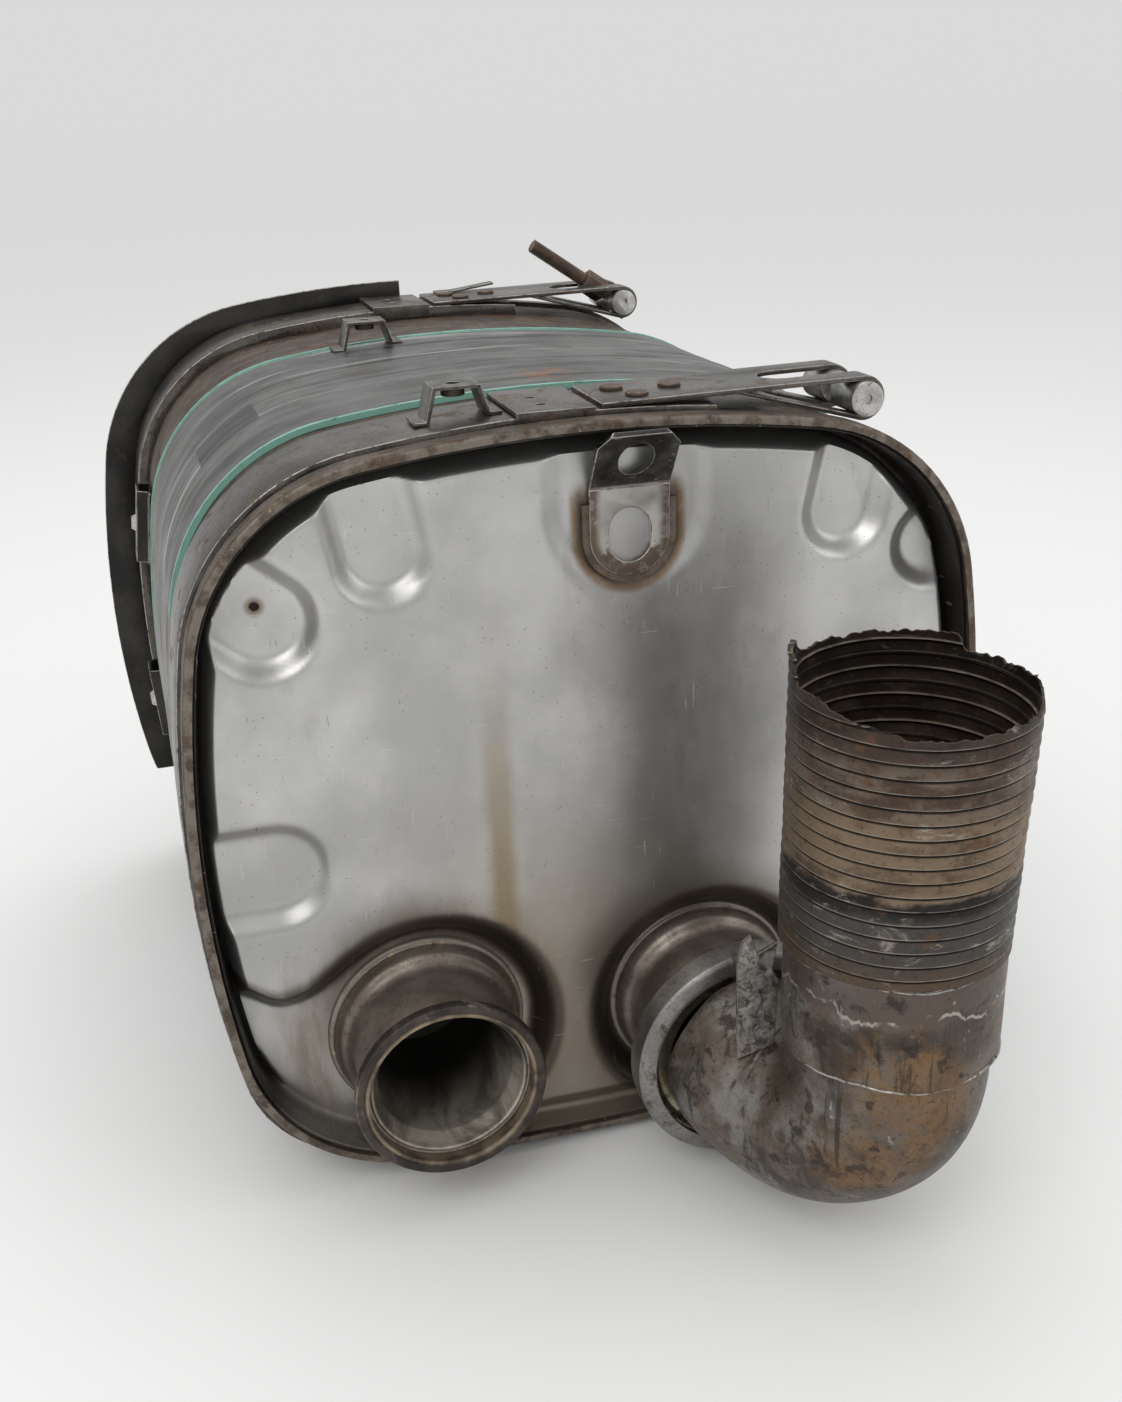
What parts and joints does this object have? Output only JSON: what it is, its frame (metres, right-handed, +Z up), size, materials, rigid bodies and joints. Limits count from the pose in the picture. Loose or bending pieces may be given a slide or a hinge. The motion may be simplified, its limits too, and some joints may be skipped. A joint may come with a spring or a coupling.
{
  "type": "diesel aftertreatment catalyst",
  "caption": "Strapped, heat-shielded rounded-square aftertreatment can with a pressed end cap, a flanged inlet, a clamped outlet elbow and a torn flexible hose.",
  "frame": {"origin": "centre of the inlet flange's front face", "axes": "-Y out of the inlet, away from the end cap; +X to the right along the cap; +Z up"},
  "size_m": [0.5425, 0.7771, 0.5355],
  "materials": {
    "cap_steel": "satin pressed stainless steel with stains and fine scratches",
    "rim_steel": "oxidised brown sheet steel",
    "shield_steel": "dark grey satin sheet with long streaks",
    "edge_tape": "thin pale green edge tape",
    "strap_steel": "dark grey strap steel with brown dirt and bright cut edges",
    "guard_steel": "dark flange steel",
    "bright_steel": "bright worn steel",
    "rusty_bolt": "rusty bolt steel",
    "weld_heat": "brown weld and heat scale",
    "port_steel": "brown grey heat-oxidised tube steel",
    "clamp_steel": "dull bright clamp band",
    "brass_ring": "worn brass-coloured sealing ring",
    "elbow_steel": "rusty brown and orange tube steel",
    "hose_steel": "dark brown strip-wound hose",
    "liner_steel": "plain inner sheet",
    "mat_fibre": "ceramic fibre mat",
    "brick_ceramic": "honeycomb ceramic brick"
  },
  "bodies": {
    "root": {"shell": "rim_steel", "front_end_cap": "cap_steel", "rear_end_cap": "cap_steel", "insulation_mat": "mat_fibre", "inner_liner": "liner_steel", "mixing_tube": "liner_steel", "front_bulkhead": "liner_steel", "rear_bulkhead": "liner_steel", "heat_shield": "shield_steel", "front_edge_tape": "edge_tape", "rear_edge_tape": "edge_tape", "rear_rim_guard": "guard_steel", "front_strap": "strap_steel", "rear_strap": "strap_steel", "front_strap_loop": "strap_steel", "rear_strap_loop": "strap_steel", "front_loop_rivets": "rusty_bolt", "rear_loop_rivets": "rusty_bolt", "front_strap_clip": "strap_steel", "rear_strap_clip": "strap_steel", "front_trunnion": "bright_steel", "rear_trunnion": "bright_steel", "rear_t_bolt": "rusty_bolt", "rear_t_bolt_nut": "rusty_bolt", "front_saddle": "strap_steel", "front_saddle_nut": "rusty_bolt", "rear_saddle": "strap_steel", "rear_saddle_nut": "rusty_bolt", "rear_strap_tab": "strap_steel", "upper_side_bracket": "guard_steel", "lower_side_bracket": "guard_steel", "side_bracket_screws": "bright_steel", "lifting_lug": "strap_steel", "lug_weld": "weld_heat", "inlet_collar": "port_steel", "inlet_flange_ring": "port_steel", "inlet_sleeve": "port_steel", "outlet_collar": "port_steel", "outlet_clamp": "clamp_steel", "outlet_seal_ring": "brass_ring", "outlet_elbow": "elbow_steel", "elbow_tab": "elbow_steel", "hose_cuff": "elbow_steel", "flex_hose": "hose_steel", "oxidation_brick": "brick_ceramic", "oxidation_mat": "mat_fibre", "oxidation_can": "liner_steel", "filter_brick": "brick_ceramic", "filter_mat": "mat_fibre", "filter_can": "liner_steel", "upper_reduction_brick": "brick_ceramic", "upper_reduction_mat": "mat_fibre", "upper_reduction_can": "liner_steel", "lower_reduction_brick": "brick_ceramic", "lower_reduction_mat": "mat_fibre", "lower_reduction_can": "liner_steel"}
  },
  "joints": []
}
